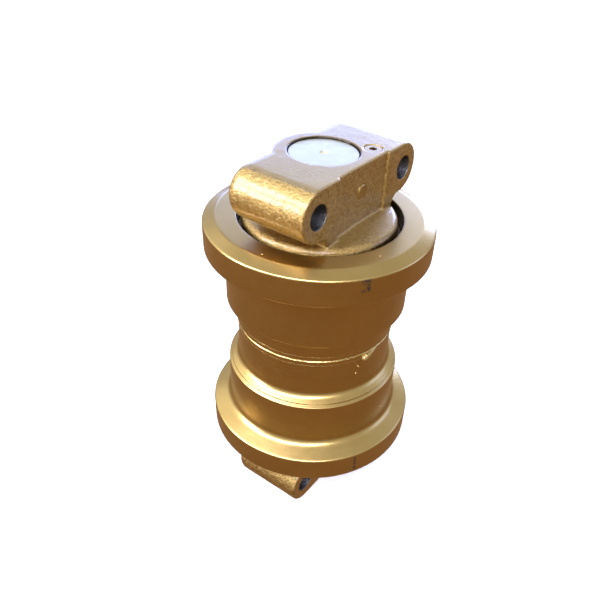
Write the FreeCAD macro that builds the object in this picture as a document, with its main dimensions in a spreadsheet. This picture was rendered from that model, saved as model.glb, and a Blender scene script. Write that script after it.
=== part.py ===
import FreeCAD, Part
import os
import Sketcher

# Track roller for a crawler excavator: a flanged shell of two welded halves that turns on a fixed shaft
# between two bolted end collars.  Z is the axis of rotation, X is the outward normal of the mounting faces
# that bolt to the track frame, and the origin is the middle of the roller on its axis.
#
# Every sketch of a turned piece is drawn for the upper end, as radius and level.  The lower piece of each
# pair is the same piece turned half a turn about X.

DIMENSIONS = {
    # shell
    "axis_radius": 0,
    "middle_level": 0,
    "rim_radius": 95,
    "rim_inner_level": 84,
    "rim_outer_level": 106.5,
    "rim_round": 2.0,
    "end_face_radius": 84.5,
    "end_face_level": 110.7,
    "recess_radius": 67.8,
    "recess_bevel": 1,
    "recess_level": 96,
    "flange_root_level": 76.3,
    "flange_root_round": 8,
    "tread_radius": 78.5,
    "tread_edge_level": 34.3,
    "land_radius": 76,
    "land_level": 32.7,
    "flare_end_radius": 75.6,
    "flare_end_level": 31.4,
    "flare_round": 13.4,
    "neck_level": 20.2,
    "neck_radius": 69.2,
    # weld between the halves
    "seam_level": 10.4,
    "weld_half_width": 4.5,
    "weld_root_radius": 62,
    "weld_cap_radius": 69.9,
    "weld_toe": 1.2,
    # bushes and oil cavity
    "cavity_radius": 44,
    "bush_radius": 37,
    "bush_bore_radius": 32.55,
    "bush_flange_radius": 43.5,
    "bush_flange_level": 11.3,
    "bush_seat_level": 16.3,
    "bush_end_level": 74,
    "bush_bore_end_level": 76,
    "bush_bevel": 1,
    "oil_groove_radius": 34,
    "oil_groove_level": 44,
    "oil_groove_width": 3,
    "notch_width": 4,
    "notch_depth": 1,
    # shaft
    "thrust_radius": 37.5,
    "thrust_level": 11,
    "journal_radius": 32.5,
    "journal_level": 84,
    "shaft_end_radius": 28,
    "shaft_end_level": 161.5,
    "shaft_bevel": 1,
    "ring_groove_radius": 24.9,
    "ring_groove_level": 118,
    "ring_groove_width": 4,
    "centre_mouth_radius": 3.3,
    "pilot_radius": 1.5,
    "pilot_level": 157,
    "pilot_floor_level": 154,
    # end collar
    "collar_bore_radius": 28.05,
    "bore_bevel": 0.7,
    "hub_radius": 34,
    "hub_level": 84.3,
    "pocket_level": 110,
    "disc_radius": 63.5,
    "disc_under_level": 98,
    "disc_side_level": 106.5,
    "disc_round": 6,
    "disc_rise": 2.5,
    "boss_radius": 39,
    "boss_round": 1,
    "collar_end_level": 163,
    "face_offset": 39,
    "ear_rear_offset": 32,
    "ear_rear_round": 9,
    "ear_offset": 56.5,
    "ear_radius": 20.5,
    "bolt_offset": 58,
    "bolt_level": 142.5,
    "bolt_hole_radius": 9.75,
    "spot_face_radius": 16.5,
    "spot_face_depth": 1,
    "web_offset": 45.5,
    "web_round": 9,
    "face_recess_offset": 33,
    "face_recess_level": 114.2,
    "face_recess_depth": 2,
    # dowel pin
    "pin_radius": 6,
    "pin_hole_radius": 6.02,
    "pin_level": 141,
    "pin_hole_floor": 16,
    "pin_end_gap": 0.5,
    "pin_proud": 1,
    "pin_bevel": 0.8,
    # oil plug and its sealing washer
    "plug_offset_x": 25.4,
    "plug_offset_y": 30,
    "port_mouth_radius": 7.6,
    "port_mouth_depth": 3.2,
    "port_radius": 5.1,
    "port_depth": 16,
    "passage_radius": 3,
    "plug_head_radius": 7.2,
    "plug_head_height": 1.8,
    "plug_stem_radius": 5,
    "plug_stem_length": 11,
    "plug_bevel": 0.4,
    "plug_washer_height": 1,
    "socket_radius": 3.5,
    "socket_depth": 3,
    # floating seal: two lapped metal rings, each carried by a rubber ring in a tapered seat
    "seat_inner_radius": 49,
    "seat_inner_level": 84,
    "seat_mouth_radius": 51.5,
    "seal_face_level": 97,
    "seal_face_gap": 0.03,
    "seal_inner_radius": 41.5,
    "seal_outer_radius": 48,
    "seal_flange_width": 4,
    "seal_ramp_radius": 45,
    "seal_tail_radius": 43.6,
    "seal_tail_lip": 44.6,
    "seal_tail_width": 9,
    "seal_length": 10.5,
    "toric_major_radius": 47,
    "toric_minor_radius": 2.95,
    "toric_spacing": 7.9,
    # shaft O-ring
    "ring_major_radius": 26.475,
    "ring_minor_radius": 1.55,
}

UPPER = FreeCAD.Placement()
LOWER = FreeCAD.Placement(FreeCAD.Vector(0, 0, 0), FreeCAD.Rotation(FreeCAD.Vector(1, 0, 0), 180))
ENDS = {"upper": UPPER, "lower": LOWER}

document = FreeCAD.newDocument("TrackRoller")
sheet = document.addObject("Spreadsheet::Sheet", "Dimensions")
sub_parts = []


def fill_sheet():
    for row, (alias, value) in enumerate(DIMENSIONS.items(), start=1):
        sheet.set(f"A{row}", alias)
        sheet.set(f"B{row}", str(value))
        sheet.setAlias(f"B{row}", alias)
    document.recompute()


def amount(words):
    """Value of a sum of dimension names, such as 'shaft_end_radius - shaft_bevel'."""
    total = 0.0
    sign = 1.0
    for word in words.split():
        if word in "+-":
            sign = 1.0 if word == "+" else -1.0
        else:
            total += sign * DIMENSIONS[word]
            sign = 1.0
    return total


def formula(words):
    """The same sum as an expression on the sheet."""
    return " ".join(word if word in "+-" else "Dimensions." + word for word in words.split())


def bind(item, prop, words):
    item.setExpression(prop, formula(words))


def new_body(label, placement=UPPER):
    body = document.addObject("PartDesign::Body", label)
    body.Label = label
    body.Placement = placement
    sub_parts.append(body)
    return body


def new_sketch(body, name, plane, offset=None):
    """A sketch on one of the body's own origin planes, moved along its normal by a sum of dimensions."""
    sketch = body.newObject("Sketcher::SketchObject", f"{body.Label}_{name}")
    support = next(item for item in body.Origin.OriginFeatures if item.Role == plane)
    sketch.AttachmentSupport = [(support, "")]
    sketch.MapMode = "FlatFace"
    if offset:
        sketch.AttachmentOffset = FreeCAD.Placement(FreeCAD.Vector(0, 0, amount(offset)), FreeCAD.Rotation())
        bind(sketch, "AttachmentOffset.Base.z", offset)
    return sketch


def pin_coordinate(sketch, kind, edge, end, words):
    """Hold one coordinate of a sketch point at a sum of dimensions, measured from the sketch origin."""
    if abs(amount(words)) < 1e-9:
        axis = -2 if kind == "DistanceX" else -1
        sketch.addConstraint(Sketcher.Constraint("PointOnObject", edge, end, axis))
        return
    index = sketch.addConstraint(Sketcher.Constraint(kind, -1, 1, edge, end, amount(words)))
    bind(sketch, f"Constraints[{index}]", words)


def arc_through(start, end, radius, side):
    """Minor arc between two points; side +1 bulges to the left of the way from start to end."""
    chord = end - start
    middle = (start + end) * 0.5
    normal = FreeCAD.Vector(-chord.y, chord.x, 0).normalize()
    rise = radius - (radius ** 2 - (chord.Length / 2) ** 2) ** 0.5
    return Part.Arc(start, middle + normal * (side * rise), end)


def draw_outline(sketch, outline):
    """Closed outline of corners (first, second[, arc radius, arc side]); the arc leads to the next corner."""
    corners = [FreeCAD.Vector(amount(corner[0]), amount(corner[1]), 0) for corner in outline]
    edges = []
    starts = []
    ends = []
    for index, corner in enumerate(outline):
        start = corners[index]
        end = corners[(index + 1) % len(corners)]
        if len(corner) == 2:
            edge = sketch.addGeometry(Part.LineSegment(start, end), False)
            first, last = 1, 2
        else:
            arc = arc_through(start, end, amount(corner[2]), corner[3])
            edge = sketch.addGeometry(arc, False)
            flipped = sketch.getPoint(edge, 1).distanceToPoint(start) > 1e-6
            first, last = (2, 1) if flipped else (1, 2)
        edges.append(edge)
        starts.append(first)
        ends.append(last)
    for index, edge in enumerate(edges):
        after = (index + 1) % len(edges)
        link = Sketcher.Constraint("Coincident", edge, ends[index], edges[after], starts[after])
        sketch.addConstraint(link)
    for index, corner in enumerate(outline):
        pin_coordinate(sketch, "DistanceX", edges[index], starts[index], corner[0])
        pin_coordinate(sketch, "DistanceY", edges[index], starts[index], corner[1])
        if len(corner) > 2:
            radius = sketch.addConstraint(Sketcher.Constraint("Radius", edges[index], amount(corner[2])))
            bind(sketch, f"Constraints[{radius}]", corner[2])


def draw_circle(sketch, first, second, radius):
    centre = FreeCAD.Vector(amount(first), amount(second), 0)
    circle = Part.Circle(centre, FreeCAD.Vector(0, 0, 1), amount(radius))
    edge = sketch.addGeometry(circle, False)
    pin_coordinate(sketch, "DistanceX", edge, 3, first)
    pin_coordinate(sketch, "DistanceY", edge, 3, second)
    index = sketch.addConstraint(Sketcher.Constraint("Radius", edge, amount(radius)))
    bind(sketch, f"Constraints[{index}]", radius)


def add_feature(body, kind, name):
    feature = body.newObject(f"PartDesign::{kind}", f"{body.Label}_{name}")
    return feature


def revolve(body, name, outline):
    """Turn an outline of (radius, level) corners about Z."""
    sketch = new_sketch(body, f"{name}_outline", "XZ_Plane")
    draw_outline(sketch, outline)
    feature = add_feature(body, "Revolution", name)
    feature.Profile = sketch
    feature.ReferenceAxis = (sketch, ["V_Axis"])
    feature.Angle = 360
    document.recompute()
    return feature


def pad(body, name, sketch, length):
    feature = add_feature(body, "Pad", name)
    feature.Profile = sketch
    bind(feature, "Length", length)
    document.recompute()
    return feature


def pocket(body, name, sketch, length, along_normal=False):
    """Cut from the sketch plane, against its normal unless told otherwise."""
    before = body.Shape.Volume
    feature = add_feature(body, "Pocket", name)
    feature.Profile = sketch
    feature.Reversed = along_normal
    bind(feature, "Length", length)
    document.recompute()
    if body.Shape.Volume > before - 1e-3:
        raise RuntimeError(f"{feature.Name} removes nothing")
    return feature


def dress(body, kind, name, wanted, size):
    """Fillet or chamfer the edges of the body's tip that satisfy wanted(edge)."""
    base = body.Tip
    edges = enumerate(base.Shape.Edges, start=1)
    names = [f"Edge{number}" for number, edge in edges if wanted(edge)]
    if not names:
        raise RuntimeError(f"{body.Label} has no edge for {name}")
    feature = add_feature(body, kind, name)
    feature.Base = (base, names)
    bind(feature, "Radius" if kind == "Fillet" else "Size", size)
    document.recompute()
    return feature


def ring_edge(radius, level):
    """Test for a full circle of this radius about Z at this level."""
    wanted_radius = amount(radius)
    wanted_level = amount(level)

    def matches(edge):
        if not isinstance(edge.Curve, Part.Circle):
            return False
        on_axis = abs(edge.Curve.Center.x) < 1e-4 and abs(edge.Curve.Center.y) < 1e-4
        at_level = abs(edge.Curve.Center.z - wanted_level) < 1e-4
        return on_axis and at_level and abs(edge.Curve.Radius - wanted_radius) < 1e-4

    return matches


def build_shell_half(end):
    """One forged half: flange, tread, concave neck, bush bore, seal seat and end recess."""
    seam = "seam_level" if end == "upper" else "middle_level - seam_level"
    body = new_body(f"{end}_shell_half", ENDS[end])
    revolve(body, "forging", [
        ("cavity_radius", seam),
        ("weld_root_radius", seam),
        ("neck_radius", seam + " + weld_half_width"),
        ("neck_radius", "neck_level", "flare_round", 1),
        ("flare_end_radius", "flare_end_level"),
        ("land_radius", "land_level"),
        ("tread_radius", "tread_edge_level"),
        ("tread_radius", "flange_root_level"),
        ("rim_radius", "rim_inner_level"),
        ("rim_radius", "rim_outer_level"),
        ("end_face_radius", "end_face_level"),
        ("recess_radius + recess_bevel", "end_face_level"),
        ("recess_radius", "end_face_level - recess_bevel"),
        ("recess_radius", "recess_level"),
        ("seat_mouth_radius", "recess_level"),
        ("seat_inner_radius", "seat_inner_level"),
        ("cavity_radius", "seat_inner_level"),
        ("cavity_radius", "bush_bore_end_level"),
        ("bush_radius", "bush_bore_end_level"),
        ("bush_radius", "bush_seat_level"),
        ("cavity_radius", "bush_seat_level"),
    ])
    root = ring_edge("tread_radius", "flange_root_level")
    dress(body, "Fillet", "flange_root", root, "flange_root_round")
    inner_rim = ring_edge("rim_radius", "rim_inner_level")
    outer_rim = ring_edge("rim_radius", "rim_outer_level")
    dress(body, "Fillet", "rim_edges", lambda edge: inner_rim(edge) or outer_rim(edge), "rim_round")


def build_seam_weld():
    """Weld ring that fills the groove between the halves, with a low crown."""
    body = new_body("seam_weld")
    below = "seam_level - weld_half_width"
    above = "seam_level + weld_half_width"
    revolve(body, "bead", [
        ("weld_root_radius", "seam_level"),
        ("neck_radius", below),
        ("weld_cap_radius", below + " + weld_toe"),
        ("weld_cap_radius", above + " - weld_toe"),
        ("neck_radius", above),
    ])


def build_bush(end):
    """Flanged bimetal bush with an oil groove in its bore and four oil notches in its thrust face."""
    body = new_body(f"{end}_bush", ENDS[end])
    revolve(body, "blank", [
        ("bush_bore_radius", "bush_flange_level"),
        ("bush_flange_radius", "bush_flange_level"),
        ("bush_flange_radius", "bush_seat_level"),
        ("bush_radius", "bush_seat_level"),
        ("bush_radius", "bush_end_level - bush_bevel"),
        ("bush_radius - bush_bevel", "bush_end_level"),
        ("bush_bore_radius", "bush_end_level"),
        ("bush_bore_radius", "oil_groove_level + oil_groove_width"),
        ("oil_groove_radius", "oil_groove_level + oil_groove_width"),
        ("oil_groove_radius", "oil_groove_level"),
        ("bush_bore_radius", "oil_groove_level"),
    ])
    sketch = new_sketch(body, "notch_outline", "XY_Plane", "bush_flange_level")
    draw_outline(sketch, [
        ("axis_radius", "axis_radius"),
        ("cavity_radius", "axis_radius"),
        ("cavity_radius", "notch_width"),
        ("axis_radius", "notch_width"),
    ])
    notch = pocket(body, "notch", sketch, "notch_depth", along_normal=True)
    pattern = add_feature(body, "PolarPattern", "notches")
    pattern.Originals = [notch]
    pattern.Axis = (next(item for item in body.Origin.OriginFeatures if item.Role == "Z_Axis"), [""])
    pattern.Angle = 360
    pattern.Occurrences = 4
    body.Tip = pattern
    document.recompute()


def build_shaft():
    """Shaft with a central thrust shoulder, two journals, O-ring grooves, centre drills and pin holes."""
    body = new_body("shaft")
    half = revolve(body, "half", [
        ("axis_radius", "middle_level"),
        ("thrust_radius", "middle_level"),
        ("thrust_radius", "thrust_level"),
        ("journal_radius", "thrust_level"),
        ("journal_radius", "journal_level"),
        ("shaft_end_radius", "journal_level"),
        ("shaft_end_radius", "ring_groove_level"),
        ("ring_groove_radius", "ring_groove_level"),
        ("ring_groove_radius", "ring_groove_level + ring_groove_width"),
        ("shaft_end_radius", "ring_groove_level + ring_groove_width"),
        ("shaft_end_radius", "shaft_end_level - shaft_bevel"),
        ("shaft_end_radius - shaft_bevel", "shaft_end_level"),
        ("centre_mouth_radius", "shaft_end_level"),
        ("pilot_radius", "pilot_level"),
        ("pilot_radius", "pilot_floor_level"),
        ("axis_radius", "pilot_floor_level"),
    ])
    sketch = new_sketch(body, "pin_hole_outline", "YZ_Plane", "thrust_radius")
    draw_circle(sketch, "axis_radius", "pin_level", "pin_hole_radius")
    pin_hole = pocket(body, "pin_hole", sketch, "thrust_radius - pin_hole_floor")
    mirror = add_feature(body, "Mirrored", "both_halves")
    mirror.Originals = [half, pin_hole]
    mirror.MirrorPlane = (next(item for item in body.Origin.OriginFeatures if item.Role == "XY_Plane"), [""])
    body.Tip = mirror
    document.recompute()


def build_end_collar(end):
    """Cast collar: ear block for the four-bolt joint, disc over the shell's end, boss and seal pocket."""
    body = new_body(f"{end}_end_collar", ENDS[end])
    sketch = new_sketch(body, "block_outline", "YZ_Plane", "middle_level - ear_rear_offset")
    ear_foot = "bolt_level - ear_radius"
    web_top = ear_foot + " - web_round"
    foot_offset = "web_offset + web_round"
    draw_outline(sketch, [
        ("web_offset", "pocket_level"),
        ("web_offset", web_top, "web_round", 1),
        (foot_offset, ear_foot),
        ("ear_offset", ear_foot, "ear_radius", -1),
        ("ear_offset + ear_radius", "bolt_level", "ear_radius", -1),
        ("ear_offset", "bolt_level + ear_radius"),
        ("middle_level - ear_offset", "bolt_level + ear_radius", "ear_radius", -1),
        ("middle_level - ear_offset - ear_radius", "bolt_level", "ear_radius", -1),
        ("middle_level - ear_offset", ear_foot),
        ("middle_level - web_offset - web_round", ear_foot, "web_round", 1),
        ("middle_level - web_offset", web_top),
        ("middle_level - web_offset", "pocket_level"),
    ])
    pad(body, "block", sketch, "ear_rear_offset + face_offset")
    rear = -amount("ear_rear_offset")
    floor = amount("pocket_level")

    def rear_edge(edge):
        box = edge.BoundBox
        return box.XMax < rear + 1e-4 and box.ZMax > floor + 1e-4

    dress(body, "Fillet", "rear_rounding", rear_edge, "ear_rear_round")

    revolve(body, "disc_and_boss", [
        ("collar_bore_radius", "hub_level"),
        ("hub_radius", "hub_level"),
        ("hub_radius", "pocket_level"),
        ("seat_inner_radius", "pocket_level"),
        ("seat_mouth_radius", "disc_under_level"),
        ("disc_radius", "disc_under_level"),
        ("disc_radius", "disc_side_level", "disc_round", -1),
        ("disc_radius - disc_round", "disc_side_level + disc_round"),
        ("boss_radius", "disc_side_level + disc_round + disc_rise"),
        ("boss_radius", "collar_end_level - boss_round"),
        ("boss_radius - boss_round", "collar_end_level"),
        ("collar_bore_radius", "collar_end_level"),
    ])

    bore = new_sketch(body, "bore_outline", "XY_Plane", "collar_end_level")
    draw_circle(bore, "axis_radius", "axis_radius", "collar_bore_radius")
    pocket(body, "bore", bore, "collar_end_level - hub_level")
    mouth = ring_edge("collar_bore_radius", "collar_end_level")
    dress(body, "Chamfer", "bore_mouth", mouth, "bore_bevel")

    recess = new_sketch(body, "face_recess_outline", "YZ_Plane", "face_offset")
    draw_outline(recess, [
        ("face_recess_offset", "face_recess_level"),
        ("face_recess_offset", "collar_end_level + boss_round"),
        ("middle_level - face_recess_offset", "collar_end_level + boss_round"),
        ("middle_level - face_recess_offset", "face_recess_level"),
    ])
    pocket(body, "face_recess", recess, "face_recess_depth")

    holes = new_sketch(body, "bolt_hole_outline", "YZ_Plane", "face_offset")
    seats = new_sketch(body, "spot_face_outline", "YZ_Plane", "middle_level - ear_rear_offset")
    for side in ("bolt_offset", "middle_level - bolt_offset"):
        draw_circle(holes, side, "bolt_level", "bolt_hole_radius")
        draw_circle(seats, side, "bolt_level", "spot_face_radius")
    pocket(body, "bolt_holes", holes, "face_offset + ear_rear_offset")
    pocket(body, "spot_faces", seats, "spot_face_depth", along_normal=True)

    pin_hole = new_sketch(body, "pin_hole_outline", "YZ_Plane", "face_offset")
    draw_circle(pin_hole, "axis_radius", "pin_level", "pin_hole_radius")
    pocket(body, "pin_hole", pin_hole, "face_offset - pin_hole_floor")
    if end == "upper":
        cut_oil_port(body)


def cut_oil_port(body):
    """Stepped port for the oil plug, with a passage down to the seal pocket."""
    steps = [
        ("port_mouth", "port_mouth_radius", "port_mouth_depth"),
        ("port", "port_radius", "port_depth"),
        ("passage", "passage_radius", "collar_end_level - pocket_level"),
    ]
    for name, radius, depth in steps:
        sketch = new_sketch(body, f"{name}_outline", "XY_Plane", "collar_end_level")
        draw_circle(sketch, "plug_offset_x", "plug_offset_y", radius)
        pocket(body, name, sketch, depth)


def build_pin(end):
    """Dowel pin through collar and shaft; its outer end stands a little proud of the face recess."""
    body = new_body(f"{end}_dowel_pin", ENDS[end])
    sketch = new_sketch(body, "outline", "YZ_Plane", "pin_hole_floor + pin_end_gap")
    draw_circle(sketch, "axis_radius", "pin_level", "pin_radius")
    outer_end = "face_offset - face_recess_depth + pin_proud"
    pad(body, "pin", sketch, outer_end + " - pin_hole_floor - pin_end_gap")
    dress(body, "Chamfer", "ends", lambda edge: isinstance(edge.Curve, Part.Circle), "pin_bevel")


def build_plug():
    """Oil plug with a hexagon socket, modelled about its own axis and placed over the port."""
    body = new_body("oil_plug")
    seat = "collar_end_level - port_mouth_depth + plug_washer_height"
    top = seat + " + plug_head_height"
    revolve(body, "turning", [
        ("axis_radius", seat + " - plug_stem_length"),
        ("plug_stem_radius - plug_bevel", seat + " - plug_stem_length"),
        ("plug_stem_radius", seat + " - plug_stem_length + plug_bevel"),
        ("plug_stem_radius", seat),
        ("plug_head_radius", seat),
        ("plug_head_radius", top + " - plug_bevel"),
        ("plug_head_radius - plug_bevel", top),
        ("axis_radius", top),
    ])
    sketch = new_sketch(body, "socket_outline", "XY_Plane", top)
    ring = Part.Circle(FreeCAD.Vector(), FreeCAD.Vector(0, 0, 1), amount("socket_radius"))
    guide = sketch.addGeometry(ring, True)
    sketch.addConstraint(Sketcher.Constraint("Coincident", guide, 3, -1, 1))
    size = sketch.addConstraint(Sketcher.Constraint("Radius", guide, amount("socket_radius")))
    bind(sketch, f"Constraints[{size}]", "socket_radius")
    turn = FreeCAD.Rotation(FreeCAD.Vector(0, 0, 1), 60)
    corner = FreeCAD.Vector(amount("socket_radius"), 0, 0)
    sides = []
    for _ in range(6):
        after = turn.multVec(corner)
        sides.append(sketch.addGeometry(Part.LineSegment(corner, after), False))
        corner = after
    for index, side in enumerate(sides):
        following = sides[(index + 1) % len(sides)]
        sketch.addConstraint(Sketcher.Constraint("Coincident", side, 2, following, 1))
        sketch.addConstraint(Sketcher.Constraint("PointOnObject", side, 1, guide))
        if index:
            sketch.addConstraint(Sketcher.Constraint("Equal", sides[0], side))
    sketch.addConstraint(Sketcher.Constraint("PointOnObject", sides[0], 1, -1))
    pocket(body, "socket", sketch, "socket_depth")
    bind(body, "Placement.Base.x", "plug_offset_x")
    bind(body, "Placement.Base.y", "plug_offset_y")


def build_plug_washer():
    """Sealing washer under the head of the oil plug."""
    body = new_body("oil_plug_seal")
    foot = "collar_end_level - port_mouth_depth"
    revolve(body, "washer", [
        ("port_radius", foot),
        ("plug_head_radius", foot),
        ("plug_head_radius", foot + " + plug_washer_height"),
        ("port_radius", foot + " + plug_washer_height"),
    ])
    bind(body, "Placement.Base.x", "plug_offset_x")
    bind(body, "Placement.Base.y", "plug_offset_y")


def build_seal_ring(end, name, turning):
    """Lapped metal seal ring; the turning ring lies inboard of the seal face, the other one outboard."""
    body = new_body(f"{end}_{name}_seal_ring", ENDS[end])
    sign = " - " if turning else " + "
    face = "seal_face_level" + sign + "seal_face_gap"
    revolve(body, "ring", [
        ("seal_inner_radius", face),
        ("seal_outer_radius", face),
        ("seal_outer_radius", face + sign + "seal_flange_width"),
        ("seal_ramp_radius", face + sign + "seal_flange_width"),
        ("seal_tail_radius", face + sign + "seal_tail_width"),
        ("seal_tail_lip", face + sign + "seal_length"),
        ("seal_inner_radius", face + sign + "seal_length"),
    ])


def add_torus(end, name, level, major, minor):
    """Rubber ring about Z, at the given level of the upper end or its mirror at the lower end."""
    torus = document.addObject("Part::Torus", f"{end}_{name}")
    torus.Label = f"{end}_{name}"
    bind(torus, "Radius1", major)
    bind(torus, "Radius2", minor)
    side = 1 if end == "upper" else -1
    torus.setExpression("Placement.Base.z", f"{side} * ({formula(level)})")
    sub_parts.append(torus)


def check_document():
    document.recompute()
    for item in document.Objects:
        if "Invalid" in item.State or "Error" in item.State:
            raise RuntimeError(f"{item.Name} failed: {item.State}")
    for item in sub_parts:
        if item.Shape.isNull() or not item.Shape.isValid():
            raise RuntimeError(f"{item.Label} has no valid shape")
        if len(item.Shape.Solids) != 1:
            raise RuntimeError(f"{item.Label} holds {len(item.Shape.Solids)} solids")


def write_parts():
    os.makedirs("parts", exist_ok=True)
    for item in sub_parts:
        item.Shape.exportStep(f"parts/{item.Label}.step")
        box = item.Shape.BoundBox
        size = f"{box.XLength:7.1f} {box.YLength:7.1f} {box.ZLength:7.1f}"
        print(f"{item.Label:30s} {size}  volume {item.Shape.Volume:11.1f}")


fill_sheet()
build_shaft()
build_seam_weld()
build_plug()
build_plug_washer()
for end_name in ENDS:
    build_shell_half(end_name)
    build_bush(end_name)
    build_end_collar(end_name)
    build_pin(end_name)
    build_seal_ring(end_name, "rotating", turning=True)
    build_seal_ring(end_name, "stationary", turning=False)
    shell_toric_level = "seal_face_level - toric_spacing"
    collar_toric_level = "seal_face_level + toric_spacing"
    add_torus(end_name, "shell_toric_ring", shell_toric_level, "toric_major_radius", "toric_minor_radius")
    add_torus(end_name, "collar_toric_ring", collar_toric_level, "toric_major_radius", "toric_minor_radius")
    ring_level = "ring_groove_level + ring_minor_radius"
    add_torus(end_name, "shaft_o_ring", ring_level, "ring_major_radius", "ring_minor_radius")
check_document()
write_parts()
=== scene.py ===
from math import ceil, cos, pi, radians, sin, tan

import bmesh
import bpy
import numpy as np
from mathutils import Matrix, Vector, noise
from mathutils.bvhtree import BVHTree
from mathutils.kdtree import KDTree


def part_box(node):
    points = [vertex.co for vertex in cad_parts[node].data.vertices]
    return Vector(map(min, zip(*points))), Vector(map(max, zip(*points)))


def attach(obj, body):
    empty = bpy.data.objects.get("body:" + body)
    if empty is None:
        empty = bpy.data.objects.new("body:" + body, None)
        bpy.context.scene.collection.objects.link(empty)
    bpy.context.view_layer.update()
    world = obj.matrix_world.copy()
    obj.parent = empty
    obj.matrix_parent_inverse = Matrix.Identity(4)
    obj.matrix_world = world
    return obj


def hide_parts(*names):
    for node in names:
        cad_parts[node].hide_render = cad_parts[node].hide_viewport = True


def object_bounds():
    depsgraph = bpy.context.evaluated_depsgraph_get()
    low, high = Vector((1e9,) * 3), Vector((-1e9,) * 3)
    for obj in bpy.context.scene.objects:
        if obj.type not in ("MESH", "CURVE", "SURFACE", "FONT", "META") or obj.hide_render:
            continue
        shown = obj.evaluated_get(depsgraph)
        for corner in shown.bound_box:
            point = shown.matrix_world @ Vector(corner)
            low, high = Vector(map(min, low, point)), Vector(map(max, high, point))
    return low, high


# The track roller's looks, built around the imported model.  Z is the axis of rotation and X is the outward
# normal of the mounting faces.  Sizes are in millimetres, and MM turns them into the scene's metres.

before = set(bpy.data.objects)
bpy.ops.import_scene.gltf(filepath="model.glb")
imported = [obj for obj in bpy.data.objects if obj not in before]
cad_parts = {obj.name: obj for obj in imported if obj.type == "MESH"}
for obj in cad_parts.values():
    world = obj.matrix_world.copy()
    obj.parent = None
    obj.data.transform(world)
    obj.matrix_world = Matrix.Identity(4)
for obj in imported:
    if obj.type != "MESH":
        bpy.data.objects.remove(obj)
cad_low, cad_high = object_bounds()

MM = 0.001
RIM_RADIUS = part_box("upper_shell_half")[1].x / MM
END_FACE_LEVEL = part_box("upper_shell_half")[1].z / MM
SHAFT_END_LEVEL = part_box("shaft")[1].z / MM
COLLAR_END_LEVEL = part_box("upper_end_collar")[1].z / MM
FACE_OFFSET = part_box("upper_end_collar")[1].x / MM
EAR_REAR_OFFSET = -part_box("upper_end_collar")[0].x / MM
SEAM_LEVEL = (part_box("seam_weld")[0].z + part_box("seam_weld")[1].z) / 2 / MM
WELD_HALF_WIDTH = (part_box("seam_weld")[1].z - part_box("seam_weld")[0].z) / 2 / MM
PLUG_LOW, PLUG_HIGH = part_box("oil_plug")
PLUG_CENTRE = (PLUG_LOW + PLUG_HIGH) / 2 / MM
PLUG_TOP = PLUG_HIGH.z / MM
PIN_LOW, PIN_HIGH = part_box("upper_dowel_pin")
PIN_LEVEL = (PIN_LOW.z + PIN_HIGH.z) / 2 / MM
PIN_RADIUS = (PIN_HIGH.y - PIN_LOW.y) / 2 / MM

# Shell halves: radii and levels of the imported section.
NECK_RADIUS = 69.2
LIP_RADIUS = 76.0
TREAD_RADIUS = 78.5
FLANGE_LEVEL = 84.0
RECESS_RADIUS = 67.8
RECESS_LEVEL = 96.0
SEAL_SEAT_RADIUS = 49.0
SEAL_SEAT_LEVEL = 84.0
BUSH_SEAT_RADIUS = 37.0
BUSH_SEAT_FOOT = 16.3
BUSH_SEAT_TOP = 76.0
CAVITY_RADIUS = 44.0
WELD_ROOT_RADIUS = 62.0

# Shaft.
SHOULDER_RADIUS = 37.5
SHOULDER_LEVEL = 11.0
JOURNAL_RADIUS = 32.5
JOURNAL_LEVEL = 84.0
SHAFT_END_RADIUS = 28.0
RING_GROOVE_RADIUS = 24.9
RING_GROOVE_FOOT = 118.0
RING_GROOVE_TOP = 122.0
DRILL_MOUTH_RADIUS = 3.3
DRILL_RADIUS = 1.5

# End collars.
BORE_RADIUS = 28.05
BOLT_OFFSET = 58.0
BOLT_LEVEL = 142.5
BOLT_HOLE_RADIUS = 9.75
SPOT_FACE_RADIUS = 16.5
PORT_RADIUS = 7.6
POCKET_RADIUS = 51.5
POCKET_LEVEL = 110.0
DISC_UNDER_LEVEL = 98.0
FACE_RECESS_OFFSET = 33.0

# Oil plug.
SOCKET_RADIUS = 3.4
SOCKET_DEPTH = 3.0

# Meshes: face size of the remeshed collars, the reach within which their points snap to an edge, the turn
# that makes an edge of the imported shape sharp, the turn between two points that straddle such an edge, and
# the number of faces around the shell.
VOXEL = 1.02
EDGE_REACH = 0.6 * VOXEL
SHARP_TURN = radians(24)
CORNER_TURN = radians(30)
ROUND_SEGMENTS = 272

# Studio: half the floor's side in metres, the gaps under the roller, and the camera's place, its angles in
# degrees, its lens and its shift in picture widths.
FLOOR_HALF = 25.0
FLOOR_GAP = 0.3
CARD_GAP = 0.8
CAMERA_PLACE = (260.0, -375.4, 346.4)
CAMERA_AZIMUTH = 32.306
CAMERA_ELEVATION = 37.867
CAMERA_ROLL = 4.506
CAMERA_LENS = 37.39
CAMERA_SHIFT = (-0.0583, 0.05)


# ---------------------------------------------------------------- mesh helpers

def new_piece(name, points, faces):
    """Smooth-shaded object from points in millimetres."""
    mesh = bpy.data.meshes.new(name)
    mesh.from_pydata((np.asarray(points) * MM).tolist(), [], faces)
    piece = bpy.data.objects.new(name, mesh)
    bpy.context.scene.collection.objects.link(piece)
    face_outward(mesh)
    return piece


def face_outward(mesh):
    """Turn all faces outward and shade them smoothly."""
    work = bmesh.new()
    work.from_mesh(mesh)
    bmesh.ops.recalc_face_normals(work, faces=work.faces)
    work.to_mesh(mesh)
    work.free()
    mesh.shade_smooth()


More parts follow.
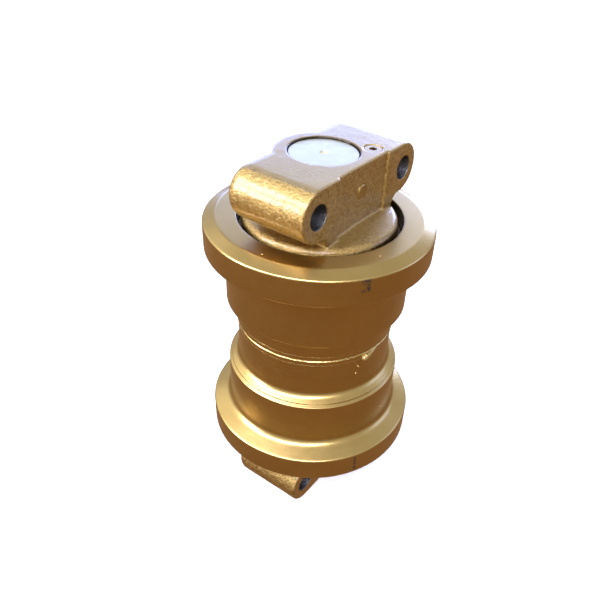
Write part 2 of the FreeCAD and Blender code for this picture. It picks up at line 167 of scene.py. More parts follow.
def rounded(corners, closed=True, arc_step=radians(11)):
    """Outline of (radius, level, fillet) corners with the fillets drawn as arcs."""
    points = []
    count = len(corners)
    for index, (radius, level, fillet) in enumerate(corners):
        corner = Vector((radius, level))
        on_end = not closed and index in (0, count - 1)
        if on_end or fillet <= 0:
            points.append(corner)
            continue
        before = Vector(corners[index - 1][:2]) - corner
        after = Vector(corners[(index + 1) % count][:2]) - corner
        opening = before.angle(after)
        reach = min(fillet / tan(opening / 2), 0.49 * before.length, 0.49 * after.length)
        fillet = reach * tan(opening / 2)
        before.normalize()
        after.normalize()
        centre = corner + (before + after).normalized() * (fillet / sin(opening / 2))
        start = corner + before * reach - centre
        sweep = start.angle_signed(corner + after * reach - centre)
        steps = max(2, ceil(abs(sweep) / arc_step))
        for step in range(steps + 1):
            points.append(centre + Matrix.Rotation(-sweep * step / steps, 2) @ start)
    return points


def refined(outline, run_of, closed=True):
    """The outline with its long runs divided; run_of gives the longest run allowed at a point."""
    points = []
    last = len(outline) if closed else len(outline) - 1
    for index in range(last):
        start = outline[index]
        end = outline[(index + 1) % len(outline)]
        parts = max(1, ceil((end - start).length / run_of((start + end) / 2)))
        points.extend(start.lerp(end, part / parts) for part in range(parts))
    if not closed:
        points.append(outline[-1])
    return points


def lathe(name, outline, segments=ROUND_SEGMENTS, closed=True, relief=None):
    """Outline turned about Z.  An open one starts and ends on the axis.  relief gives the added radius."""
    turned = np.array([tuple(point) for point in (outline if closed else outline[1:-1])])
    rings = len(turned)
    radius, angle = np.meshgrid(turned[:, 0], np.arange(segments) * 2 * pi / segments, indexing="ij")
    level = np.repeat(turned[:, 1:], segments, axis=1)
    if relief:
        radius = radius + relief(radius, level, angle)
    points = np.stack([radius * np.cos(angle), radius * np.sin(angle), level], axis=-1).reshape(-1, 3)
    faces = []
    for ring in range(rings if closed else rings - 1):
        here = ring * segments
        there = (ring + 1) % rings * segments
        for part in range(segments):
            beside = (part + 1) % segments
            faces.append((here + part, here + beside, there + beside, there + part))
    if not closed:
        poles = [(0, 0, outline[0].y), (0, 0, outline[-1].y)]
        points = np.vstack([points, poles])
        for pole, here in ((rings * segments, 0), (rings * segments + 1, (rings - 1) * segments)):
            faces.extend((pole, here + part, here + (part + 1) % segments) for part in range(segments))
    return new_piece(name, points, faces)


def place(piece, matrix):
    """Move the piece's mesh by the matrix."""
    piece.data.transform(matrix)
    return piece


def below(piece):
    """Turn a piece made for the upper end over to the lower end."""
    return place(piece, Matrix.Rotation(pi, 4, "X"))


def apply_modifier(piece, kind, **settings):
    """Replace the piece's mesh with what the modifier makes of it."""
    modifier = piece.modifiers.new(kind.lower(), kind)
    for setting, value in settings.items():
        setattr(modifier, setting, value)
    evaluated = piece.evaluated_get(bpy.context.evaluated_depsgraph_get())
    mesh = bpy.data.meshes.new_from_object(evaluated)
    piece.modifiers.clear()
    piece.data = mesh
    mesh.shade_smooth()


def cut(piece, cutter):
    """Take the cutter's shape out of the piece."""
    apply_modifier(piece, "BOOLEAN", operation="DIFFERENCE", solver="EXACT", object=cutter)
    bpy.data.objects.remove(cutter)


def coordinates(mesh):
    """Places of the mesh's points, in millimetres."""
    points = np.zeros(len(mesh.vertices) * 3)
    mesh.vertices.foreach_get("co", points)
    return points.reshape(-1, 3) / MM


def set_coordinates(mesh, points):
    """Move the mesh's points to these places in millimetres."""
    mesh.vertices.foreach_set("co", (points * MM).ravel())
    mesh.update()


def vertex_normals(mesh):
    normals = np.zeros(len(mesh.vertices) * 3)
    mesh.vertex_normals.foreach_get("vector", normals)
    return normals.reshape(-1, 3)


def grain(points, size, stretch=(1, 1, 1), octaves=2):
    """Fractal noise of about -1 to 1 with lumps of the given size."""
    scaled = points / (size * np.array(stretch))
    return np.array([noise.fractal(point, 1.0, 2.0, octaves) for point in scaled.tolist()])


def edge_ends(mesh):
    """Numbers of the first and the second point of every edge."""
    edges = np.zeros(len(mesh.edges) * 2, dtype=np.int64)
    mesh.edges.foreach_get("vertices", edges)
    return edges.reshape(-1, 2).T


def smooth_part(mesh, points, weight, rounds):
    """Laplacian smoothing, each point by its own weight."""
    first, second = edge_ends(mesh)
    count = len(points)
    degree = np.bincount(first, minlength=count) + np.bincount(second, minlength=count)
    for _ in range(rounds):
        mean = np.empty_like(points)
        for axis in range(3):
            total = np.bincount(first, points[second, axis], count)
            total += np.bincount(second, points[first, axis], count)
            mean[:, axis] = total / np.maximum(degree, 1)
        points = points + (mean - points) * weight[:, None]
    return points


# ---------------------------------------------------------------- node helpers

class Paint:
    """A node material under construction: each call adds a node and gives back its output."""

    def __init__(self, name):
        self.material = bpy.data.materials.new(name)
        self.material.use_nodes = True
        self.tree = self.material.node_tree
        self.shader = next(node for node in self.tree.nodes if node.type == "BSDF_PRINCIPLED")
        self.object_place = self.tree.nodes.new("ShaderNodeTexCoord").outputs["Object"]
        split = self.tree.nodes.new("ShaderNodeSeparateXYZ")
        self.tree.links.new(self.object_place, split.inputs[0])
        self.x, self.y, self.z = split.outputs

    def feed(self, socket, value):
        """Link another node's output to the socket, or set the socket's value."""
        if isinstance(value, bpy.types.NodeSocket):
            self.tree.links.new(value, socket)
        else:
            socket.default_value = value

    def math(self, operation, first, second=0.0):
        node = self.tree.nodes.new("ShaderNodeMath")
        node.operation = operation
        self.feed(node.inputs[0], first)
        self.feed(node.inputs[1], second)
        return node.outputs[0]

    def times(self, first, second):
        return self.math("MULTIPLY", first, second)

    def minus(self, first, second):
        return self.math("SUBTRACT", first, second)

    def size_of(self, value):
        """The value without its sign."""
        return self.math("ABSOLUTE", value)

    def squeeze(self, value, low, high, new_low=0.0, new_high=1.0):
        """Map the value from one range to another, clamped, with a smooth step."""
        node = self.tree.nodes.new("ShaderNodeMapRange")
        node.interpolation_type = "SMOOTHSTEP"
        for socket, number in zip(node.inputs, (value, low, high, new_low, new_high)):
            self.feed(socket, number)
        return node.outputs[0]

    def rise(self, length, low, high, top=1.0):
        """0 up to the low length and top from the high one, both in millimetres."""
        return self.squeeze(length, low * MM, high * MM, 0.0, top)

    def fall(self, length, low, high, top=1.0):
        """top up to the low length and 0 from the high one, both in millimetres."""
        return self.squeeze(length, low * MM, high * MM, top, 0.0)

    def speckle(self, size, detail=3.0, stretch=(1, 1, 1), rough=0.6):
        """Noise of 0 to 1 with lumps of this size in millimetres."""
        mapping = self.tree.nodes.new("ShaderNodeMapping")
        mapping.inputs["Scale"].default_value = [1 / part for part in stretch]
        self.tree.links.new(self.object_place, mapping.inputs["Vector"])
        node = self.tree.nodes.new("ShaderNodeTexNoise")
        node.inputs["Scale"].default_value = 1 / (size * MM)
        node.inputs["Detail"].default_value = detail
        node.inputs["Roughness"].default_value = rough
        self.tree.links.new(mapping.outputs[0], node.inputs["Vector"])
        return node.outputs[0]

    def blend(self, factor, first, second):
        """Colour between the first, at factor 0, and the second, at factor 1."""
        node = self.tree.nodes.new("ShaderNodeMix")
        node.data_type = "RGBA"
        sockets = [node.inputs[0], node.inputs[6], node.inputs[7]]
        for socket, value in zip(sockets, (factor, first, second)):
            self.feed(socket, value)
        return node.outputs[2]

    def spread(self, first, second):
        """Distance from a pair of lengths at right angles."""
        total = self.math("ADD", self.times(first, first), self.times(second, second))
        return self.math("SQRT", total)

    def radius(self):
        """Distance from the roller's axis."""
        return self.spread(self.x, self.y)

    def bump(self, height, depth, below_it=None):
        """Bump of this depth in millimetres, over another bump if one is given."""
        node = self.tree.nodes.new("ShaderNodeBump")
        node.inputs["Strength"].default_value = 1.0
        node.inputs["Distance"].default_value = depth * MM
        self.feed(node.inputs["Height"], height)
        if below_it is not None:
            self.tree.links.new(below_it, node.inputs["Normal"])
        return node.outputs[0]

    def set(self, **values):
        """Shader sockets by name, with underscores for spaces."""
        for name, value in values.items():
            self.feed(self.shader.inputs[name.replace("_", " ")], value)


GOLD_DARK = (0.475, 0.315, 0.090, 1)
GOLD_LIGHT = (0.520, 0.355, 0.110, 1)
GOLD_FLAKE = (0.80, 0.60, 0.24, 1)
# Painted shade for the casting's grain pits and for the cast skin next to the disc; the dowel pins also take
# a little of it as a browner tone.
SHADE_AND_PIN_BROWN = (0.20, 0.105, 0.020, 1)
# Painted highlight colour for the casting grain's crests.
CREST_HIGHLIGHT_GOLD = (0.88, 0.73, 0.42, 1)
STREAK_BROWN = (0.16, 0.085, 0.016, 1)
STREAK_GOLD = (0.86, 0.66, 0.30, 1)
SOCKET_BROWN = (0.24, 0.15, 0.050, 1)
DRILL_BROWN = (0.55, 0.45, 0.24, 1)
# Near-black painted shade for dark gaps: the shell's end recess, the collar's bore and the disc's side, and
# the shaft's end edge.
GAP_SHADE = (0.030, 0.022, 0.014, 1)
SCRAPED_STEEL = (0.13, 0.145, 0.175, 1)
DRILLED_STEEL_DARK = (0.07, 0.065, 0.055, 1)
DRILLED_STEEL_PALE = (0.27, 0.27, 0.27, 1)
SHAFT_STEEL_DARK = (0.57, 0.55, 0.41, 1)
SHAFT_STEEL_PALE = (0.62, 0.61, 0.46, 1)


def gold_colour(paint):
    """Bronze-gold paint that varies a little in tone, with fine metal flake."""
    clouds = paint.squeeze(paint.speckle(38, 3), 0.25, 0.75)
    mottled = paint.blend(clouds, GOLD_DARK, GOLD_LIGHT)
    flake = paint.squeeze(paint.speckle(0.4, 1), 0.50, 0.78, 0.0, 0.30)
    return paint.blend(flake, mottled, GOLD_FLAKE)


def gold_shader(paint, colour, roughness, normal):
    """Metallic paint under a thin clear coat."""
    paint.set(Base_Color=colour, Metallic=1.0, Roughness=roughness, Normal=normal)
    paint.set(Coat_Weight=0.6, Coat_Roughness=0.16, Coat_IOR=1.5)


def rim_scrape(paint, angle, half_angle, level, half_width):
    """Share of scraped, patchy paint around one place on a flange rim; the angles are in degrees."""
    turned = paint.minus(paint.math("ARCTAN2", paint.y, paint.x), radians(angle))
    full_angle = radians(half_angle * 0.4)
    beside = paint.squeeze(paint.size_of(turned), full_angle, radians(half_angle), 1.0, 0.0)
    above = paint.size_of(paint.minus(paint.z, level * MM))
    along = paint.fall(above, half_width * 0.8, half_width)
    on_rim = paint.rise(paint.radius(), RIM_RADIUS - 1.5, RIM_RADIUS - 0.5)
    broken = paint.squeeze(paint.speckle(3.6, 3), 0.36, 0.62)
    share = paint.times(beside, along)
    return paint.times(paint.times(share, on_rim), broken)


def shell_paint():
    """Paint over turned steel: fine turning rings, orange peel, two scrapes that show the steel."""
    paint = Paint("gold_paint_on_turned_steel")
    peel = paint.speckle(1.6, 2)
    rings = paint.speckle(0.9, 2, stretch=(60, 60, 1))
    normal = paint.bump(peel, 0.020)
    normal = paint.bump(rings, 0.020, normal)
    colour = gold_colour(paint)

    lower_scrape = rim_scrape(paint, angle=-28.4, half_angle=1.3, level=-95.0, half_width=10.0)
    colour = paint.blend(lower_scrape, colour, SCRAPED_STEEL)
    upper_scrape = rim_scrape(paint, angle=-33.4, half_angle=3.0, level=100.5, half_width=6.0)
    colour = paint.blend(upper_scrape, colour, SCRAPED_STEEL)

    # Painted shade: the end recess, where the collar's disc sits, is painted near-black for the dark gap
    # around it.
    in_recess = paint.fall(paint.radius(), RECESS_RADIUS + 0.3, RECESS_RADIUS + 0.9, 0.75)
    at_end = paint.rise(paint.size_of(paint.z), RECESS_LEVEL - 6, RECESS_LEVEL - 2)
    colour = paint.blend(paint.times(in_recess, at_end), colour, GAP_SHADE)

    roughness = paint.squeeze(paint.speckle(6, 3), 0.3, 0.7, 0.30, 0.34)
    gold_shader(paint, colour, roughness, normal)
    return paint.material


def casting_paint():
    """Paint over a sand casting, with painted shade in the grain's pits and painted highlights on its
    crests, painted shade in the bore and around the disc, and bare steel inside the drilled bolt holes.
    """
    paint = Paint("gold_paint_on_casting")
    level = paint.size_of(paint.z)
    sand = paint.speckle(2.1, 4, rough=0.7)
    lumps = paint.speckle(4.0, 2)
    streaks = paint.speckle(2.0, 3, stretch=(1, 1, 12))
    ear_plane = paint.rise(paint.x, FACE_OFFSET - 0.5, FACE_OFFSET - 0.2)
    recess = paint.rise(paint.x, FACE_OFFSET - 3.0, FACE_OFFSET - 2.4)
    cast = paint.minus(1.0, ear_plane)
    at_end = paint.rise(level, COLLAR_END_LEVEL - 1.0, COLLAR_END_LEVEL - 0.3)
    flat = paint.times(paint.math("MAXIMUM", at_end, recess), 0.72)
    rough = paint.times(cast, paint.minus(1.0, flat))
    in_recess = paint.times(recess, cast)
    normal = paint.bump(paint.times(sand, rough), 1.10)
    normal = paint.bump(paint.times(lumps, cast), 0.08, normal)
    normal = paint.bump(paint.times(streaks, in_recess), 0.8, normal)

    colour = gold_colour(paint)
    # Painted shade: the grain's pits are painted darker brown.
    pit_shade = paint.squeeze(sand, 0.36, 0.50, 0.58, 0.0)
    colour = paint.blend(paint.times(pit_shade, rough), colour, SHADE_AND_PIN_BROWN)
    # Painted highlight: the grain's crests are painted a pale gold.
    crest_highlight = paint.squeeze(sand, 0.54, 0.70, 0.0, 0.40)
    colour = paint.blend(paint.times(crest_highlight, rough), colour, CREST_HIGHLIGHT_GOLD)
    dark_streaks = paint.squeeze(streaks, 0.43, 0.55, 0.60, 0.0)
    colour = paint.blend(paint.times(dark_streaks, in_recess), colour, STREAK_BROWN)
    pale_streaks = paint.squeeze(streaks, 0.53, 0.64, 0.0, 0.6)
    colour = paint.blend(paint.times(pale_streaks, in_recess), colour, STREAK_GOLD)

    across = paint.minus(paint.size_of(paint.y), BOLT_OFFSET * MM)
    along = paint.minus(level, BOLT_LEVEL * MM)
    from_bolt = paint.spread(across, along)
    in_bolt_hole = paint.fall(from_bolt, BOLT_HOLE_RADIUS + 0.05, BOLT_HOLE_RADIUS + 0.35)
    stained = paint.blend(paint.speckle(5, 4), DRILLED_STEEL_DARK, DRILLED_STEEL_PALE)
    colour = paint.blend(in_bolt_hole, colour, stained)
    # Painted shade: the collar's bore is painted near-black for the dark gap around the shaft.
    in_bore = paint.fall(paint.radius(), BORE_RADIUS + 0.2, BORE_RADIUS + 0.9)
    colour = paint.blend(in_bore, colour, GAP_SHADE)
    # Painted shade: the cast skin near the disc is painted browner, darker towards the disc.
    near_disc_shade = paint.fall(level, DISC_UNDER_LEVEL + 15, DISC_UNDER_LEVEL + 27, 0.38)
    colour = paint.blend(near_disc_shade, colour, SHADE_AND_PIN_BROWN)
    # Painted shade: the disc's side and underside are painted near-black for the shaded gap beside it.
    disc_side_shade = paint.fall(level, DISC_UNDER_LEVEL + 6, DISC_UNDER_LEVEL + 9, 0.7)
    colour = paint.blend(disc_side_shade, colour, GAP_SHADE)

    roughness = paint.squeeze(sand, 0.3, 0.7, 0.34, 0.48)
    gold_shader(paint, colour, roughness, normal)
    return paint.material


def shaft_finish():
    """Turned steel under thin pale preservative, with painted shade where the shaft meets the collar's bore.
    """
    paint = Paint("turned_shaft_steel")
    rings = paint.tree.nodes.new("ShaderNodeTexWave")
    rings.wave_type = "RINGS"
    rings.rings_direction = "Z"
    rings.inputs["Scale"].default_value = 420.0
    rings.inputs["Distortion"].default_value = 1.2
    rings.inputs["Detail"].default_value = 3.0
    paint.tree.links.new(paint.object_place, rings.inputs["Vector"])
    normal = paint.bump(rings.outputs["Fac"], 0.006)
    normal = paint.bump(paint.speckle(0.5, 3), 0.008, normal)
    clouds = paint.squeeze(paint.speckle(12, 4), 0.35, 0.7)
    colour = paint.blend(clouds, SHAFT_STEEL_DARK, SHAFT_STEEL_PALE)
    in_drill = paint.fall(paint.radius(), DRILL_MOUTH_RADIUS - 0.7, DRILL_MOUTH_RADIUS + 0.3, 0.7)
    colour = paint.blend(in_drill, colour, DRILL_BROWN)
    # Painted shade: the outer edge of the shaft's end is painted near-black for the gap to the collar's
    # bore.
    at_edge = paint.rise(paint.radius(), SHAFT_END_RADIUS - 0.9, SHAFT_END_RADIUS - 0.4)
    colour = paint.blend(at_edge, colour, GAP_SHADE)
    roughness = paint.squeeze(paint.speckle(7, 3), 0.3, 0.7, 0.30, 0.42)
    paint.set(Base_Color=colour, Metallic=0.75, Roughness=roughness, Normal=normal)
    return paint.material


def plug_paint():
    """Painted plug, dark and oily down in its socket."""
    paint = Paint("oil_plug_paint")
    colour = gold_colour(paint)
    across = paint.minus(paint.x, PLUG_CENTRE.x * MM)
    along = paint.minus(paint.y, PLUG_CENTRE.y * MM)
    from_axis = paint.spread(across, along)
    deep = paint.fall(paint.z, PLUG_TOP - 1.6, PLUG_TOP - 0.4)
    inner = paint.fall(from_axis, SOCKET_RADIUS + 0.2, SOCKET_RADIUS + 0.6)
    colour = paint.blend(paint.times(deep, inner), colour, SOCKET_BROWN)
    normal = paint.bump(paint.speckle(0.8, 3), 0.04)
    gold_shader(paint, colour, 0.32, normal)
    return paint.material


def pin_paint():
    """The same gold paint, a little browner on the pins' ends."""
    paint = Paint("dowel_pin_paint")
    colour = paint.blend(0.25, gold_colour(paint), SHADE_AND_PIN_BROWN)
    normal = paint.bump(paint.speckle(1.2, 3), 0.05)
    gold_shader(paint, colour, 0.36, normal)
    return paint.material


def lapped_steel():
    """Hard iron seal rings, lapped on their faces and stained with oil."""
    paint = Paint("lapped_seal_iron")
    stain = paint.squeeze(paint.speckle(6, 4), 0.35, 0.65)
    colour = paint.blend(stain, (0.32, 0.31, 0.30, 1), (0.46, 0.45, 0.43, 1))
    normal = paint.bump(paint.speckle(0.6, 2, stretch=(1, 1, 0.4)), 0.01)
    paint.set(Base_Color=colour, Metallic=1.0, Roughness=0.28, Normal=normal)
    return paint.material


def bush_bronze():
    """Bored bronze with faint turning rings."""
    paint = Paint("bush_bronze")
    tone = paint.squeeze(paint.speckle(5, 4), 0.3, 0.7)
    colour = paint.blend(tone, (0.48, 0.27, 0.11, 1), (0.62, 0.40, 0.18, 1))
    normal = paint.bump(paint.speckle(0.7, 2, stretch=(20, 20, 1)), 0.012)
    paint.set(Base_Color=colour, Metallic=1.0, Roughness=0.34, Normal=normal)
    return paint.material


def black_rubber():
    """Dull black rubber with a little grey bloom."""
    paint = Paint("black_rubber")
    bloom = paint.squeeze(paint.speckle(3, 4), 0.4, 0.75)
    colour = paint.blend(bloom, (0.010, 0.010, 0.011, 1), (0.035, 0.034, 0.033, 1))
    normal = paint.bump(paint.speckle(0.5, 3), 0.02)
    paint.set(Base_Color=colour, Roughness=0.62, Normal=normal)
    return paint.material


# ---------------------------------------------------------------- pieces

# Level and depth of each ring that the turning tool left on the neck, and half the width of a ring.
NECK_RINGS = [
    (-6.4, 0.16),
    (-4.2, 0.07),
    (-1.0, 0.14),
    (1.8, 0.08),
    (3.9, 0.05),
    (20.5, 0.06),
    (24.0, 0.05),
]
NECK_RING_HALF_WIDTH = 0.45

# Where the weld bead stops: its angle about Z in degrees, and how far the uneven stretch reaches.
BEAD_STOP_ANGLE = 331
BEAD_STOP_REACH = 7


def shell_outline():
    """Upper half: neck flare, tread, flange, end face, end recess, seal seat and bush bore."""
    return seam_corners(SEAM_LEVEL) + [
        (NECK_RADIUS, 27.4, 13.4),
        (LIP_RADIUS, 31.65, 0.3),
        (LIP_RADIUS, 32.8, 0.25),
        (TREAD_RADIUS, 34.3, 0.5),
        (TREAD_RADIUS, 76.3, 8.0),
        (RIM_RADIUS, FLANGE_LEVEL, 2.0),
        (RIM_RADIUS, 106.5, 2.0),
        (84.5, END_FACE_LEVEL, 3.0),
        (RECESS_RADIUS, END_FACE_LEVEL, 0.8),
        (RECESS_RADIUS, RECESS_LEVEL, 1.0),
        (POCKET_RADIUS, RECESS_LEVEL, 0.5),
        (SEAL_SEAT_RADIUS, SEAL_SEAT_LEVEL, 0.3),
        (CAVITY_RADIUS, SEAL_SEAT_LEVEL, 0.3),
        (CAVITY_RADIUS, BUSH_SEAT_TOP, 0.3),
        (BUSH_SEAT_RADIUS, BUSH_SEAT_TOP, 0.5),
        (BUSH_SEAT_RADIUS, BUSH_SEAT_FOOT, 0.2),
        (CAVITY_RADIUS, BUSH_SEAT_FOOT, 0.5),
    ]


def seam_corners(level):
    """Cavity wall, weld root and neck at a half's seam face."""
    return [
        (CAVITY_RADIUS, level, 0.3),
        (WELD_ROOT_RADIUS, level, 0.3),
        (NECK_RADIUS, level + WELD_HALF_WIDTH, 0.1),
    ]


def lower_outline():
    """The same forging with its seam face further from its flange, for the longer lower half."""
    seam = seam_corners(-SEAM_LEVEL)
    return seam + shell_outline()[len(seam):]


def shell_run(point):
    """Longest run on the outline: fine on the neck, coarse inside."""
    if point.x < RECESS_RADIUS - 1:
        return 5.0
    return 0.4 if point.y < 33 else 1.5


def shell_relief(side):
    """Shallow tool rings on the neck and the forging's slight unevenness; side is -1 for the lower half."""

    def relief(radius, level, angle):
        world_level = level * side
        added = np.zeros_like(radius)
        outside = radius > NECK_RADIUS - 0.5
        for ring_level, depth in NECK_RINGS:
            added -= depth * np.exp(-((world_level - ring_level) / NECK_RING_HALF_WIDTH) ** 2)
        added *= outside & (radius < TREAD_RADIUS - 1)
        wave = 0.04 * np.sin(3 * angle + world_level / 9) + 0.03 * np.sin(7 * angle - world_level / 5)
        return added + wave * outside * (radius < RIM_RADIUS - 8)

    return relief


def make_shell(end, material):
    """One half of the shell, drawn as the upper one and turned over for the lower."""
    side = 1 if end == "upper" else -1
    corners = shell_outline() if end == "upper" else lower_outline()
    outline = refined(rounded(corners), shell_run)
    piece = lathe(f"{end}_shell", outline, relief=shell_relief(side))
    if side < 0:
        below(piece)
    finish_piece(piece, "roller", "shell_paint", material, f"{end}_shell_half")


def weld_relief(radius, level, angle):
    """A narrow uneven ridge on the weld's crown, lumpier where the bead stops."""
    turn = np.stack([np.cos(angle), np.sin(angle), level * 0.05], axis=-1).reshape(-1, 3)
    wobble = grain(turn, 0.16).reshape(angle.shape)
    fine = grain(turn, 0.035).reshape(angle.shape)
    lumpy = np.exp(-((np.degrees(angle) - BEAD_STOP_ANGLE) / BEAD_STOP_REACH) ** 2)
    centre = SEAM_LEVEL + 0.4 * wobble + 0.5 * fine * lumpy
    height = 0.8 * (1 + 0.25 * fine) + 0.7 * lumpy * np.abs(fine)
    ridge = height * np.exp(-((level - centre) / 0.6) ** 2)
    ripple = 0.05 * fine * (np.abs(level - SEAM_LEVEL) < WELD_HALF_WIDTH - 0.5)
    return (ridge + ripple) * (radius > NECK_RADIUS - 0.6)


def make_weld(material):
    """The ring of weld between the halves, a V in section."""
    corners = [
        (WELD_ROOT_RADIUS, SEAM_LEVEL, 0.2),
        (NECK_RADIUS, SEAM_LEVEL - WELD_HALF_WIDTH, 0.1),
        (NECK_RADIUS + 0.1, SEAM_LEVEL, 0.0),
        (NECK_RADIUS, SEAM_LEVEL + WELD_HALF_WIDTH, 0.1),
    ]
    outline = refined(rounded(corners), lambda point: 0.22 if point.x > NECK_RADIUS - 0.3 else 2.0)
    piece = lathe("seam_weld_bead", outline, segments=900, relief=weld_relief)
    finish_piece(piece, "roller", "shell_paint", material, "seam_weld")


def droplets(name, drops):
    """Solidified drops merged into one skin.  Each is (place, outward, radius, height)."""
    points = []
    faces = []
    for centre, outward, radius, height in drops:
        work = bmesh.new()
        bmesh.ops.create_icosphere(work, subdivisions=4, radius=1)
        flat = Matrix.Diagonal((radius, radius, height, 1))
        turn = Vector(outward).to_track_quat("Z", "Y").to_matrix().to_4x4()
        work.transform(Matrix.Translation(centre) @ turn @ flat)
        first = len(points)
        points.extend(tuple(vertex.co) for vertex in work.verts)
        faces.extend([first + vertex.index for vertex in face.verts] for face in work.faces)
        work.free()
    piece = new_piece(name, points, faces)
    apply_modifier(piece, "REMESH", mode="VOXEL", voxel_size=0.28 * MM)
    skin = smooth_part(piece.data, coordinates(piece.data), np.full(len(piece.data.vertices), 0.5), 4)
    skin += vertex_normals(piece.data) * (0.06 * grain(skin, 1.5))[:, None]
    set_coordinates(piece.data, skin)
    return piece


def on_barrel(angle, level, radius):
    """Point on a cylinder about Z, and the outward direction there."""
    outward = Vector((cos(radians(angle)), sin(radians(angle)), 0))
    return outward * radius + Vector((0, 0, level)), outward


def make_spatter(material):
    """The lump where the bead stops, and weld and paint specks on neck, tread and flange."""
    drops = []
    steps = 9
    for step in range(steps + 1):
        share = step / steps
        centre, outward = on_barrel(-15.2 + 10.4 * share, 3.2 + 6.6 * share ** 0.8, NECK_RADIUS - 0.4)
        drops.append((centre, outward, 5.6 - 3.6 * share, 4.6 - 3.0 * share))
    neck_specks = [
        (-21.2, -2.1, 1.35),
        (-22.6, -9.4, 1.05),
        (-24.0, 2.5, 0.6),
        (-19.0, -5.0, 0.5),
    ]
    for angle, level, size in neck_specks:
        centre, outward = on_barrel(angle, level, NECK_RADIUS)
        drops.append((centre, outward, size, size))
    centre, outward = on_barrel(0.0, -60.4, TREAD_RADIUS)
    drops.append((centre, outward, 1.15, 0.9))
    for angle, radius in ((-85.4, 80.1), (-19.3, 77.0)):
        centre, _ = on_barrel(angle, END_FACE_LEVEL, radius)
        drops.append((centre, Vector((0, 0, 1)), 1.0, 0.6))
    piece = droplets("weld_spatter", drops)
    finish_piece(piece, "roller", "shell_paint", material)


def sharp_edge_points(work, spacing=0.2):
    """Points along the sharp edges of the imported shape, in millimetres."""
    found = []
    for edge in work.edges:
        if len(edge.link_faces) == 2 and edge.calc_face_angle(0) > SHARP_TURN:
            start, end = (vertex.co / MM for vertex in edge.verts)
            steps = max(1, ceil((end - start).length / spacing))
            found.extend(start.lerp(end, step / steps) for step in range(steps + 1))
    tree = KDTree(len(found))
    for index, point in enumerate(found):
        tree.insert(point, index)
    tree.balance()
    return tree


def even_skin(node, name):
    """Copy of a CAD node with even, small faces that lie on its surface and keep its edges."""
    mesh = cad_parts[node].data.copy()
    work = bmesh.new()
    work.from_mesh(mesh)
    bmesh.ops.remove_doubles(work, verts=work.verts, dist=0.001 * MM)
    work.to_mesh(mesh)
    surface = BVHTree.FromBMesh(work)
    edges = sharp_edge_points(work)
    work.free()
    piece = bpy.data.objects.new(name, mesh)
    bpy.context.scene.collection.objects.link(piece)
    apply_modifier(piece, "REMESH", mode="VOXEL", voxel_size=VOXEL * MM)
    points = coordinates(piece.data)
    outward = np.zeros_like(points)
    from_edge = np.zeros(len(points))
    for index, point in enumerate(points):
        nearest, _, from_edge[index] = edges.find(point)
        if from_edge[index] > EDGE_REACH:
            nearest, outward[index], _, _ = surface.find_nearest(Vector(point) * MM)
            nearest /= MM
        points[index] = nearest
    on_edge = from_edge <= EDGE_REACH
    first, second = edge_ends(piece.data)
    around_corner = (outward[first] * outward[second]).sum(axis=1) < cos(CORNER_TURN)
    around_corner &= ~on_edge[first] & ~on_edge[second]
    closer = np.where(from_edge[first] < from_edge[second], first, second)[around_corner]
    for index in closer[from_edge[closer] < 1.5 * VOXEL]:
        points[index] = edges.find(points[index])[0]
        on_edge[index] = True
    beside = ~on_edge & (from_edge < 3 * VOXEL)
    for _ in range(3):
        points = smooth_part(piece.data, points, beside * 0.6, 2)
        for index in np.flatnonzero(beside):
            points[index] = surface.find_nearest(Vector(points[index]) * MM)[0] / MM
    piece.data.materials.clear()
    return piece, points


def machined_share(points):
    """1 on the collar's machined faces and bores and just around them, 0 on its cast skin."""
    x, y = points[:, 0], points[:, 1]
    level = np.abs(points[:, 2])
    from_axis = np.hypot(x, y)
    from_bolt = np.hypot(np.abs(y) - BOLT_OFFSET, level - BOLT_LEVEL)
    from_pin = np.hypot(y, level - PIN_LEVEL)
    from_port = np.hypot(x - PLUG_CENTRE.x, y - PLUG_CENTRE.y)
    machined = x > FACE_OFFSET - 0.1
    machined |= from_bolt < BOLT_HOLE_RADIUS + 0.1
    machined |= (from_bolt < SPOT_FACE_RADIUS + 0.2) & (x < 2 - EAR_REAR_OFFSET)
    machined |= from_axis < BORE_RADIUS + 1.6
    machined |= (from_axis < POCKET_RADIUS + 0.1) & (level < POCKET_LEVEL + 0.2)
    machined |= level < DISC_UNDER_LEVEL + 0.1
    machined |= (x > FACE_OFFSET - 2.5) & (np.abs(y) > FACE_RECESS_OFFSET - 0.8)
    machined |= (from_pin < PIN_RADIUS + 0.1) & (x > 0)
    machined |= (from_port < PORT_RADIUS + 0.2) & (points[:, 2] > 0)
    return machined.astype(float)


def cast_relief(points):
    """Height of the sand-cast grain: full on the rounded skin, less on the flat end and in the recess."""
    level = np.abs(points[:, 2])
    share = np.ones(len(points))
    share[level > COLLAR_END_LEVEL - 0.6] = 0.35
    share[points[:, 0] > FACE_OFFSET - 2.6] = 0.5
    waves = 0.14 * grain(points, 12.0)
    lumps = 0.075 * grain(points, 2.3)
    sand = 0.05 * grain(points, 1.4, octaves=1)
    return (waves + lumps + sand) * share


def make_collar(end, material):
    """End collar with a sand-cast skin, its cast corners worn a little round."""
    piece, points = even_skin(f"{end}_end_collar", f"{end}_collar_casting")
    cast = 1 - machined_share(points)
    points = smooth_part(piece.data, points, cast * 0.5, 4)
    near_edge = (points[:, 0] > FACE_OFFSET - 5) & (np.abs(points[:, 2]) > COLLAR_END_LEVEL - 3)
    points = smooth_part(piece.data, points, cast * near_edge * 0.5, 14)
    set_coordinates(piece.data, points)
    points += vertex_normals(piece.data) * (cast_relief(points) * cast)[:, None]
    set_coordinates(piece.data, points)
    piece.data.shade_smooth()
    finish_piece(piece, "mounting", "collar_paint", material, f"{end}_end_collar")


